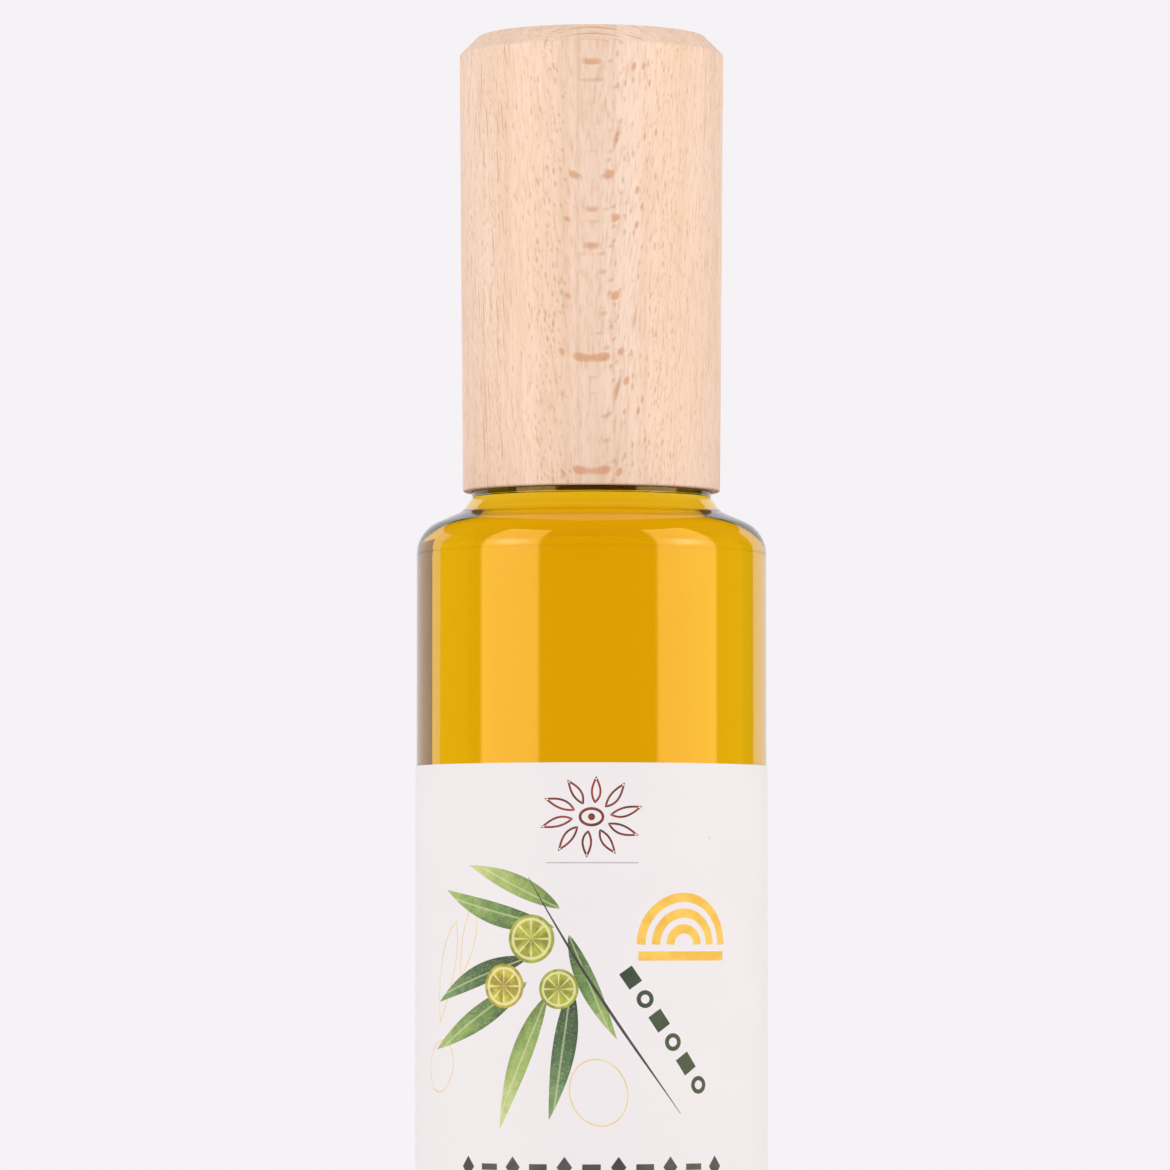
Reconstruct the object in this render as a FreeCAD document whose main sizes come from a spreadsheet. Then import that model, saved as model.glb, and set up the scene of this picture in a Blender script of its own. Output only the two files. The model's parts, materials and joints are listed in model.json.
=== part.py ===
import FreeCAD, Part
import Sketcher

import math
import os

# A small olive oil bottle: round glass bottle, oil, turned wooden cap and paper label.
# It stands on its base ring at the origin, with +Z up and the middle of the label facing -Y.
# Each sub-part is turned about the Z axis from a half outline, and its ring edges are then rounded.

# alias, size in millimetres or degrees, what it measures
SIZES = (
    ("body_radius", 25.0, "outside of the round body"),
    ("shoulder_height", 169.8, "height where body and shoulder would meet in a sharp corner"),
    ("shoulder_slope", 23.0, "slope of the shoulder above level, in degrees"),
    ("shoulder_round", 5.0, "rounding from body to shoulder"),
    ("neck_foot_radius", 18.48, "outside of the tapered neck where it would meet the shoulder in a corner"),
    ("neck_rise", 2.03, "height of the tapered neck, from that corner up to the collar"),
    ("neck_foot_round", 3.0, "rounding from shoulder to neck"),
    ("collar_radius", 17.12, "outside of the upright glass collar that the cap seats on"),
    ("collar_height", 0.84, "collar that shows below the cap"),
    ("collar_foot_round", 0.5, "rounding from neck to collar"),
    ("collar_edge_round", 0.2, "rounding of the collar's top edge"),
    ("heel_round", 4.0, "rounding at the foot of the body"),
    ("push_up_radius", 18.0, "inner edge of the ring that the bottle stands on"),
    ("push_up_height", 2.0, "rise of the hollow under the base"),
    ("ring_round", 0.8, "rounding of the base ring's inner edge"),
    ("body_wall", 2.6, "glass thickness of the body"),
    ("shoulder_wall", 2.6, "glass thickness of the shoulder"),
    ("base_wall", 4.6, "glass thickness from the base ring up to the floor's edge"),
    ("floor_rise", 1.6, "rise of the floor from its edge to its middle"),
    ("inner_shoulder_round", 2.4, "rounding inside the shoulder"),
    ("inner_neck_round", 2.0, "rounding inside the foot of the neck"),
    ("inner_heel_round", 4.0, "rounding inside the foot of the body"),
    ("neck_bore_radius", 11.6, "inside of the neck"),
    ("finish_wall", 2.4, "glass thickness of the mouth, which the cap hides"),
    ("finish_height", 14.0, "height of the mouth above the collar"),
    ("lip_round", 0.9, "rounding of the mouth's two edges"),
    ("oil_cover", 0.3, "oil level above the foot of the cap"),
    ("cap_foot_radius", 18.4, "outside of the cap at its foot"),
    ("cap_crown_radius", 18.9, "outside of the cap below its bevel"),
    ("cap_height", 65.3, "cap from foot to top"),
    ("cap_bevel", 2.65, "bevel round the cap's top"),
    ("bevel_round", 0.4, "softening of the bevel's two edges"),
    ("cap_foot_round", 0.3, "softening of the cap's foot"),
    ("rebate_depth", 1.0, "how far the cap's foot reaches down over the collar"),
    ("cap_clearance", 0.15, "gap all round between cap and glass"),
    ("head_room", 0.5, "gap between the mouth and the end of the cap's bore"),
    ("label_foot_height", 22.0, "height of the label's lower edge"),
    ("label_height", 114.2, "label from edge to edge"),
    ("label_gap", 8.0, "bare glass between the label's ends at the back"),
    ("paper_thickness", 0.15, "thickness of the label"),
)

# Heights and radii that several sub-parts share, as formulas over the sheet.
SLOPE_TAN = "tan(Sizes.shoulder_slope * 1 deg)"
SLOPE_COS = "cos(Sizes.shoulder_slope * 1 deg)"
NECK_FOOT = f"(Sizes.shoulder_height + (Sizes.body_radius - Sizes.neck_foot_radius) * {SLOPE_TAN})"
COLLAR_FOOT = f"({NECK_FOOT} + Sizes.neck_rise)"
CAP_FOOT = f"({COLLAR_FOOT} + Sizes.collar_height)"
COLLAR_TOP = f"({CAP_FOOT} + Sizes.rebate_depth)"
MOUTH = f"({COLLAR_TOP} + Sizes.finish_height)"
INNER_RADIUS = "(Sizes.body_radius - Sizes.body_wall)"
INNER_CORNER = f"(Sizes.shoulder_height - Sizes.shoulder_wall / {SLOPE_COS})"
INNER_SHOULDER = f"({INNER_CORNER} + Sizes.body_wall * {SLOPE_TAN})"
INNER_NECK_FOOT = f"({INNER_CORNER} + (Sizes.body_radius - Sizes.neck_bore_radius) * {SLOPE_TAN})"
FINISH_RADIUS = "(Sizes.neck_bore_radius + Sizes.finish_wall)"
FLOOR_TOP = "(Sizes.base_wall + Sizes.floor_rise)"
OIL_LEVEL = f"({CAP_FOOT} + Sizes.oil_cover)"
BORE_RADIUS = f"({FINISH_RADIUS} + Sizes.cap_clearance)"
BORE_END = "(Sizes.rebate_depth + Sizes.finish_height + Sizes.head_room)"
REBATE_RADIUS = "(Sizes.collar_radius + Sizes.cap_clearance)"

ORIGIN_POINT = (-1, 1)
LEVEL_AXIS = -1
UPRIGHT_AXIS = -2
START = 1
END = 2
CENTRE = 3
NEAR = 1e-6


def make_sheet(doc):
    """The sheet of driving sizes, one row each: meaning, then number."""
    sheet = doc.addObject("Spreadsheet::Sheet", "Sizes")
    for row, (alias, size, meaning) in enumerate(SIZES, start=1):
        sheet.set(f"A{row}", meaning)
        sheet.set(f"B{row}", str(size))
        sheet.setAlias(f"B{row}", alias)
    doc.recompute()
    return sheet


def dome_arc(top_point, edge_point):
    """Arc from a point off the axis up to a higher point on the axis, centred on the axis."""
    rise = top_point.y - edge_point.y
    radius = (edge_point.x**2 + rise**2) / (2 * rise)
    middle = FreeCAD.Vector(0, top_point.y - radius, 0)
    start = math.atan2(edge_point.y - middle.y, edge_point.x)
    circle = Part.Circle(middle, FreeCAD.Vector(0, 0, 1), radius)
    return Part.ArcOfCircle(circle, start, math.pi / 2)


def place_corner(sketch, sheet, name, point, radius, height):
    """Ties one corner of an outline to its radius and its height, each a formula."""
    for direction, formula, axis in (("X", radius, UPRIGHT_AXIS), ("Y", height, LEVEL_AXIS)):
        if formula == "0":
            sketch.addConstraint(Sketcher.Constraint("PointOnObject", *point, axis))
            continue
        size = float(sheet.evalExpression(formula))
        tie = Sketcher.Constraint("Distance" + direction, *ORIGIN_POINT, *point, size)
        number = sketch.addConstraint(tie)
        sketch.renameConstraint(number, name + direction)
        sketch.setExpression("Constraints." + name + direction, formula)


def draw_outline(body, sheet, corners):
    """A closed half outline in the XZ plane.

    Each corner is a name, a radius and a height. A fourth entry, "dome", makes the edge from that
    corner to the next an arc centred on the Z axis.
    """
    plane = next(item for item in body.Origin.OriginFeatures if item.Role == "XZ_Plane")
    sketch = body.newObject("Sketcher::SketchObject", body.Name + "Outline")
    sketch.AttachmentSupport = [(plane, "")]
    sketch.MapMode = "FlatFace"
    spots = []
    for corner in corners:
        radius = float(sheet.evalExpression(corner[1]))
        height = float(sheet.evalExpression(corner[2]))
        spots.append(FreeCAD.Vector(radius, height, 0))
    ends = []
    for number, corner in enumerate(corners):
        here = spots[number]
        there = spots[(number + 1) % len(spots)]
        if corner[3:] != ("dome",):
            edge = sketch.addGeometry(Part.LineSegment(here, there))
            ends.append(((edge, START), (edge, END)))
            continue
        outward = here.x < there.x
        arc = dome_arc(here, there) if outward else dome_arc(there, here)
        edge = sketch.addGeometry(arc)
        sketch.addConstraint(Sketcher.Constraint("PointOnObject", edge, CENTRE, UPRIGHT_AXIS))
        ends.append(((edge, END), (edge, START)) if outward else ((edge, START), (edge, END)))
    for number, (first, last) in enumerate(ends):
        following = ends[(number + 1) % len(ends)][0]
        sketch.addConstraint(Sketcher.Constraint("Coincident", *last, *following))
        place_corner(sketch, sheet, corners[number][0], first, *corners[number][1:3])
    if sketch.solve() != 0 or not sketch.FullyConstrained:
        raise RuntimeError(sketch.Name + " isn't fully tied to the sheet")
    return sketch


def turn_outline(doc, sheet, name, corners):
    """A body with one full turn of a half outline about the Z axis."""
    body = doc.addObject("PartDesign::Body", name.title().replace("_", ""))
    body.Label = name
    turning = body.newObject("PartDesign::Revolution", body.Name + "Turned")
    turning.Profile = draw_outline(body, sheet, corners)
    turning.ReferenceAxis = (turning.Profile[0], ["V_Axis"])
    turning.Angle = 360
    body.Tip = turning
    doc.recompute()
    return body


def ring_edge(shape, radius, height):
    """Name of the circular edge about the Z axis at this radius and height."""
    for number, edge in enumerate(shape.Edges, start=1):
        if edge.Degenerated or not isinstance(edge.Curve, Part.Circle):
            continue
        circle = edge.Curve
        about_axis = abs(circle.Axis.z) > 1 - NEAR
        if about_axis and abs(circle.Radius - radius) < NEAR and abs(circle.Center.z - height) < NEAR:
            return f"Edge{number}"
    raise RuntimeError(f"no ring edge at radius {radius} and height {height}")


def round_rings(body, sheet, name, size, rings):
    """Rounds ring edges, each given by its radius and height as formulas."""
    base = body.Tip
    edges = []
    for radius, height in rings:
        place = [float(sheet.evalExpression(formula)) for formula in (radius, height)]
        edges.append(ring_edge(base.Shape, *place))
    rounding = body.newObject("PartDesign::Fillet", body.Name + name)
    rounding.Base = (base, edges)
    rounding.setExpression("Radius", size)
    body.Tip = rounding
    body.Document.recompute()


def round_inside(body, sheet):
    """The rounds that the glass and the oil share, where they meet face to face."""
    for name, size, radius, height in (
        ("InnerShoulder", "Sizes.inner_shoulder_round", INNER_RADIUS, INNER_SHOULDER),
        ("InnerNeck", "Sizes.inner_neck_round", "Sizes.neck_bore_radius", INNER_NECK_FOOT),
        ("InnerHeel", "Sizes.inner_heel_round", INNER_RADIUS, "Sizes.base_wall"),
    ):
        round_rings(body, sheet, name, size, [(radius, height)])


def make_bottle(doc, sheet):
    """Glass bottle: push-up base, straight body, low shoulder, short neck and the mouth in the cap."""
    corners = (
        ("PushUp", "0", "Sizes.push_up_height", "dome"),
        ("RingInside", "Sizes.push_up_radius", "0"),
        ("Heel", "Sizes.body_radius", "0"),
        ("Shoulder", "Sizes.body_radius", "Sizes.shoulder_height"),
        ("NeckFoot", "Sizes.neck_foot_radius", NECK_FOOT),
        ("CollarFoot", "Sizes.collar_radius", COLLAR_FOOT),
        ("CollarTop", "Sizes.collar_radius", COLLAR_TOP),
        ("Finish", FINISH_RADIUS, COLLAR_TOP),
        ("Lip", FINISH_RADIUS, MOUTH),
        ("Mouth", "Sizes.neck_bore_radius", MOUTH),
        ("InnerNeck", "Sizes.neck_bore_radius", INNER_NECK_FOOT),
        ("InnerShoulder", INNER_RADIUS, INNER_SHOULDER),
        ("FloorEdge", INNER_RADIUS, "Sizes.base_wall", "dome"),
        ("FloorMiddle", "0", FLOOR_TOP),
    )
    body = turn_outline(doc, sheet, "bottle", corners)
    shoulder = ("Sizes.body_radius", "Sizes.shoulder_height")
    round_rings(body, sheet, "Shoulder", "Sizes.shoulder_round", [shoulder])
    for name, size, radius, height in (
        ("NeckFoot", "Sizes.neck_foot_round", "Sizes.neck_foot_radius", NECK_FOOT),
        ("CollarFoot", "Sizes.collar_foot_round", "Sizes.collar_radius", COLLAR_FOOT),
        ("CollarEdge", "Sizes.collar_edge_round", "Sizes.collar_radius", COLLAR_TOP),
    ):
        round_rings(body, sheet, name, size, [(radius, height)])
    round_rings(body, sheet, "Heel", "Sizes.heel_round", [("Sizes.body_radius", "0")])
    round_rings(body, sheet, "Ring", "Sizes.ring_round", [("Sizes.push_up_radius", "0")])
    lip = [(FINISH_RADIUS, MOUTH), ("Sizes.neck_bore_radius", MOUTH)]
    round_rings(body, sheet, "Lip", "Sizes.lip_round", lip)
    round_inside(body, sheet)
    return body


def make_oil(doc, sheet):
    """The oil, which fills the bottle from its floor up to a level just inside the cap."""
    corners = (
        ("FloorMiddle", "0", FLOOR_TOP, "dome"),
        ("FloorEdge", INNER_RADIUS, "Sizes.base_wall"),
        ("InnerShoulder", INNER_RADIUS, INNER_SHOULDER),
        ("InnerNeck", "Sizes.neck_bore_radius", INNER_NECK_FOOT),
        ("LevelEdge", "Sizes.neck_bore_radius", OIL_LEVEL),
        ("LevelMiddle", "0", OIL_LEVEL),
    )
    body = turn_outline(doc, sheet, "oil", corners)
    round_inside(body, sheet)
    return body


def make_cap(doc, sheet):
    """Tall wooden cap: it widens a little upwards, and a rebate in its foot seats on the collar."""
    bevel_foot = "(Sizes.cap_height - Sizes.cap_bevel)"
    bevel_top = "(Sizes.cap_crown_radius - Sizes.cap_bevel)"
    corners = (
        ("RebateFoot", REBATE_RADIUS, "0"),
        ("Foot", "Sizes.cap_foot_radius", "0"),
        ("BevelFoot", "Sizes.cap_crown_radius", bevel_foot),
        ("BevelTop", bevel_top, "Sizes.cap_height"),
        ("Top", "0", "Sizes.cap_height"),
        ("BoreEnd", "0", BORE_END),
        ("BoreEdge", BORE_RADIUS, BORE_END),
        ("Seat", BORE_RADIUS, "Sizes.rebate_depth"),
        ("RebateEnd", REBATE_RADIUS, "Sizes.rebate_depth"),
    )
    body = turn_outline(doc, sheet, "wooden_cap", corners)
    bevel = [("Sizes.cap_crown_radius", bevel_foot), (bevel_top, "Sizes.cap_height")]
    round_rings(body, sheet, "Bevel", "Sizes.bevel_round", bevel)
    round_rings(body, sheet, "Foot", "Sizes.cap_foot_round", [("Sizes.cap_foot_radius", "0")])
    body.setExpression("Placement.Base.z", CAP_FOOT)
    return body


def make_label(doc, sheet):
    """Paper label: one sheet wrapped round the body, with a bare strip of glass at the back."""
    outside = "(Sizes.body_radius + Sizes.paper_thickness)"
    corners = (
        ("InsideFoot", "Sizes.body_radius", "0"),
        ("OutsideFoot", outside, "0"),
        ("OutsideTop", outside, "Sizes.label_height"),
        ("InsideTop", "Sizes.body_radius", "Sizes.label_height"),
    )
    body = turn_outline(doc, sheet, "label", corners)
    wrap = body.Tip
    wrap.setExpression("Angle", "360 - Sizes.label_gap / Sizes.body_radius * 180 / pi")
    wrap.Midplane = True
    facing_front = FreeCAD.Rotation(FreeCAD.Vector(0, 0, 1), -90)
    body.Placement = FreeCAD.Placement(FreeCAD.Vector(), facing_front)
    body.setExpression("Placement.Base.z", "Sizes.label_foot_height")
    return body


def check_document(doc, bodies):
    """Stops if any object failed to compute or any sub-part isn't one sound solid."""
    for item in doc.Objects:
        if {"Invalid", "Error"} & set(item.State):
            raise RuntimeError(f"{item.Name} is in state {item.State}")
    for body in bodies:
        shape = body.Shape
        if shape.isNull() or not shape.isValid() or len(shape.Solids) != 1:
            raise RuntimeError(f"{body.Label} isn't one valid solid")


def main():
    doc = FreeCAD.newDocument("OliveOilBottle")
    sheet = make_sheet(doc)
    bodies = [make(doc, sheet) for make in (make_bottle, make_oil, make_cap, make_label)]
    doc.recompute()
    check_document(doc, bodies)
    os.makedirs("parts", exist_ok=True)
    for body in bodies:
        body.Shape.exportStep(os.path.join("parts", body.Label + ".step"))
        box = body.Shape.BoundBox
        volume = body.Shape.Volume / 1000
        print(f"{body.Label}: {volume:.2f} cm3, from {box.ZMin:.2f} to {box.ZMax:.2f} mm high")


main()
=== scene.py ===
import json
import math

import bmesh
import bpy
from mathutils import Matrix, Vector
from mathutils.geometry import delaunay_2d_cdt


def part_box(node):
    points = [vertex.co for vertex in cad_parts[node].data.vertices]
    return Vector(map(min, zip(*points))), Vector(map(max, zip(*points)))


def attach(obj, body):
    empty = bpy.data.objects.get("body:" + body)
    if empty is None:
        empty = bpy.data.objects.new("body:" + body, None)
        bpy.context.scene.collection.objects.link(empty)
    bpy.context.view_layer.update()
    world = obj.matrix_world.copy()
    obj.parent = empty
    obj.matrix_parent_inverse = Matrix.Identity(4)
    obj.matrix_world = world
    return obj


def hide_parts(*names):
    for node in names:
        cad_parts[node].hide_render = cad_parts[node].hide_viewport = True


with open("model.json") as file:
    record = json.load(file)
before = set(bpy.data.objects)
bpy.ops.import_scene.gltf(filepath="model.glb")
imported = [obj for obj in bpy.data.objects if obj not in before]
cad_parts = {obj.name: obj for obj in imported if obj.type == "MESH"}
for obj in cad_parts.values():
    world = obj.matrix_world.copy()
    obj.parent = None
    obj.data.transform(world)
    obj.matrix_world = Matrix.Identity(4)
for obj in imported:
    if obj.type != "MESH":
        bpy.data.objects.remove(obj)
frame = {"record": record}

bl_info = {
    "name": "Olive Oil Bottle",
    "version": (1, 0, 0),
    "blender": (4, 5, 0),
    "location": "View3D > Sidebar > Oil Bottle",
    "description": "Builds a glass bottle of olive oil with a wooden cap and a printed paper label",
    "category": "Object",
}

SLOTS = {entry["slot"] for entry in frame["record"]["materials"]}
MM = 0.001
ROUND_STEPS = 12
DOME_STEPS = 8
CREASE = math.radians(35)
GRAIN_LEAN = math.radians(2.7)


def length_property(name, description, millimetres):
    """A length property whose default is given in millimetres."""
    return bpy.props.FloatProperty(
        name=name,
        description=description,
        default=millimetres * MM,
        min=0.0,
        precision=5,
        subtype="DISTANCE",
        unit="LENGTH",
    )


# ---------------------------------------------------------------- settings


class OilBottleGlassSettings(bpy.types.PropertyGroup):
    """Walls and roundings of the glass."""

    body_wall: length_property("Body wall", "Glass thickness of the body", 2.6)
    shoulder_wall: length_property("Shoulder wall", "Glass thickness of the shoulder", 2.6)
    base_wall: length_property("Base wall", "From the base ring up to the floor's edge", 4.6)
    floor_rise: length_property("Floor rise", "Rise of the floor towards its middle", 1.6)
    push_up_radius: length_property("Push-up radius", "Inner edge of the base ring", 18.0)
    push_up_height: length_property("Push-up height", "Rise of the hollow under the base", 2.0)
    ring_round: length_property("Ring round", "Rounding of the base ring's inner edge", 0.8)
    heel_round: length_property("Heel round", "Rounding at the foot of the body", 4.0)
    shoulder_height: length_property("Shoulder height", "Corner of body and shoulder", 169.8)
    shoulder_round: length_property("Shoulder round", "Rounding from body to shoulder", 5.0)
    neck_foot_radius: length_property("Neck foot", "Corner of shoulder and neck", 18.48)
    neck_foot_round: length_property("Neck foot round", "Rounding from shoulder to neck", 3.0)
    neck_rise: length_property("Neck rise", "Height from the neck's foot to the collar", 2.03)
    collar_radius: length_property("Collar", "Outside of the upright collar", 17.12)
    collar_foot_round: length_property("Collar foot round", "Rounding from neck to collar", 0.5)
    collar_edge_round: length_property("Collar edge", "Rounding of the collar's top edge", 0.2)
    bore_radius: length_property("Bore", "Inside of the neck", 11.6)
    finish_wall: length_property("Finish wall", "Glass thickness of the mouth", 2.4)
    lip_round: length_property("Lip round", "Rounding of the mouth's edges", 0.9)
    inner_shoulder_round: length_property("Inner shoulder", "Rounding inside the shoulder", 2.4)
    inner_neck_round: length_property("Inner neck", "Rounding inside the neck's foot", 2.0)
    inner_heel_round: length_property("Inner heel", "Rounding inside the foot of the body", 4.0)
    shoulder_slope: bpy.props.FloatProperty(
        name="Shoulder slope",
        description="Slope of the shoulder above level",
        default=math.radians(23),
        min=0.0,
        max=math.radians(60),
        subtype="ANGLE",
        unit="ROTATION",
    )
    refraction: bpy.props.FloatProperty(
        name="Refraction",
        description="Index of refraction of the glass",
        default=1.52,
        min=1.0,
        max=2.0,
    )
    segments: bpy.props.IntProperty(
        name="Segments", description="Steps round the axis", default=224, min=24, max=512
    )


class OilBottleOilSettings(bpy.types.PropertyGroup):
    """How the oil fills the glass and how it colours the light."""

    overlap: length_property("Overlap", "How far the oil reaches into the glass", 0.12)
    refraction: bpy.props.FloatProperty(
        name="Refraction",
        description="Index of refraction of the oil",
        default=1.47,
        min=1.0,
        max=2.0,
    )
    density: bpy.props.FloatProperty(
        name="Density",
        description="How strongly a metre of oil absorbs",
        default=150.0,
        min=0.0,
    )
    colour: bpy.props.FloatVectorProperty(
        name="Colour",
        description="Colour that the oil lets through",
        default=(0.9715, 0.8667, 0.0),
        size=3,
        min=0.0,
        max=1.0,
        subtype="COLOR",
    )


class OilBottleCapSettings(bpy.types.PropertyGroup):
    """Shape of the turned wooden cap."""

    foot_radius: length_property("Foot radius", "Outside of the cap at its foot", 18.4)
    foot_round: length_property("Foot round", "Softening of the cap's foot", 0.3)
    bevel: length_property("Bevel", "Bevel round the cap's top", 2.65)
    bevel_round: length_property("Bevel round", "Softening of the bevel's edges", 0.4)
    rebate_depth: length_property("Rebate", "How far the foot reaches over the collar", 1.0)
    clearance: length_property("Clearance", "Gap between cap and glass", 0.15)
    head_room: length_property("Head room", "Gap between the mouth and the bore's end", 0.5)
    seat_gap: length_property("Seat gap", "Hair's breadth between foot and glass", 0.02)
    segments: bpy.props.IntProperty(
        name="Segments", description="Steps round the axis", default=192, min=24, max=512
    )


class OilBottleLabelSettings(bpy.types.PropertyGroup):
    """The printed paper label."""

    gap: length_property("Gap", "Bare glass between the label's ends", 8.0)
    glue: length_property("Glue", "Space between paper and glass", 0.02)
    column: length_property("Column", "Width of one strip of the wrapped sheet", 0.9)


class OilBottleStageSettings(bpy.types.PropertyGroup):
    """Camera, lights and surroundings."""

    backdrop: bpy.props.FloatVectorProperty(
        name="Backdrop",
        description="Colour of the surroundings",
        default=(0.922, 0.896, 0.930),
        size=3,
        min=0.0,
        max=1.0,
        subtype="COLOR",
    )
    camera_distance: length_property("Camera distance", "From camera to axis", 1064.3)
    camera_height: length_property("Camera height", "Camera above the floor", 112.0)
    floor_radius: length_property("Floor radius", "Outer edge of the floor", 2300.0)
    key_power: bpy.props.FloatProperty(
        name="Key power", description="Power of each soft key light", default=3.4, min=0.0
    )


# ---------------------------------------------------------------- shapes


def rounded(corners):
    """Half outline through corners given as radius, height and rounding."""
    outline = []
    for number, (radius, height, rounding) in enumerate(corners):
        if rounding <= 0:
            outline.append((radius, height))
            continue
        before = Vector(corners[number - 1][:2])
        corner = Vector((radius, height))
        after = Vector(corners[(number + 1) % len(corners)][:2])
        to_before = (before - corner).normalized()
        to_after = (after - corner).normalized()
        half = to_before.angle(to_after) / 2
        middle = corner + (to_before + to_after).normalized() * (rounding / math.sin(half))
        first = corner + to_before * (rounding / math.tan(half)) - middle
        last = corner + to_after * (rounding / math.tan(half)) - middle
        start = math.atan2(first.y, first.x)
        turn = (math.atan2(last.y, last.x) - start + math.pi) % (2 * math.pi) - math.pi
        for step in range(ROUND_STEPS + 1):
            angle = start + turn * step / ROUND_STEPS
            outline.append(
                (middle.x + rounding * math.cos(angle), middle.y + rounding * math.sin(angle))
            )
    return outline


def dome(edge_radius, edge_height, top_height, reach):
    """Corners on an arc centred on the axis, from the axis out to a share of its edge."""
    rise = top_height - edge_height
    radius = (edge_radius**2 + rise**2) / (2 * rise)
    corners = []
    for step in range(DOME_STEPS + 1):
        out = edge_radius * reach * step / DOME_STEPS
        corners.append((out, top_height - radius + math.sqrt(radius**2 - out**2), 0.0))
    return corners


def turned(name, outline, segments, slots=None):
    """A closed solid: the half outline turned about the Z axis, a material slot for each edge."""
    mesh = bmesh.new()
    rings = []
    for radius, height in outline:
        if radius < MM / 1000:
            rings.append([mesh.verts.new((0, 0, height))] * segments)
            continue
        ring = []
        for step in range(segments):
            angle = 2 * math.pi * step / segments
            place = (radius * math.cos(angle), radius * math.sin(angle), height)
            ring.append(mesh.verts.new(place))
        rings.append(ring)
    for number, lower in enumerate(rings):
        upper = rings[(number + 1) % len(rings)]
        if lower[0] is lower[1] and upper[0] is upper[1]:
            continue
        for step in range(segments):
            following = (step + 1) % segments
            corners = [lower[step], lower[following], upper[following], upper[step]]
            face = mesh.faces.new(list(dict.fromkeys(corners)))
            face.smooth = True
            if slots:
                face.material_index = slots[number]
    return finished(name, mesh)


def finished(name, mesh):
    """An object from a closed mesh, its faces turned outwards and its sharp edges marked."""
    bmesh.ops.recalc_face_normals(mesh, faces=mesh.faces)
    if mesh.calc_volume(signed=True) < 0:
        bmesh.ops.reverse_faces(mesh, faces=mesh.faces)
    for edge in mesh.edges:
        if len(edge.link_faces) == 2 and edge.calc_face_angle(0.0) > CREASE:
            edge.smooth = False
    data = bpy.data.meshes.new(name)
    mesh.to_mesh(data)
    mesh.free()
    made = bpy.data.objects.new(name, data)
    bpy.context.scene.collection.objects.link(made)
    return made


def keep(piece, node, slot):
    """The piece stands for a CAD node and rides on its body; the slot it names must be one of the
    part's material slots.
    """
    if slot not in SLOTS:
        raise ValueError(f"the part has no material slot named {slot}")
    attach(piece, "root")
    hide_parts(node)


class GlassForm:
    """Heights and radii of the glass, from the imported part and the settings."""

    def __init__(self, scene):
        glass = scene.oil_bottle_glass
        cap = scene.oil_bottle_cap
        low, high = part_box("bottle")
        self.foot = low.z
        self.mouth = high.z
        self.radius = high.x
        self.collar_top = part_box("wooden_cap")[0].z + cap.rebate_depth
        self.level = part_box("oil")[1].z
        self.inside = self.radius - glass.body_wall
        self.rise = math.tan(glass.shoulder_slope)
        corner = glass.shoulder_height - glass.shoulder_wall / math.cos(glass.shoulder_slope)
        self.inner_shoulder = corner + glass.body_wall * self.rise
        self.inner_neck = corner + (self.radius - glass.bore_radius) * self.rise
        self.neck_foot = glass.shoulder_height
        self.neck_foot += (self.radius - glass.neck_foot_radius) * self.rise
        self.finish = glass.bore_radius + glass.finish_wall
        self.floor_edge = self.foot + glass.base_wall
        self.floor_top = self.floor_edge + glass.floor_rise


# ---------------------------------------------------------------- materials


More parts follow.
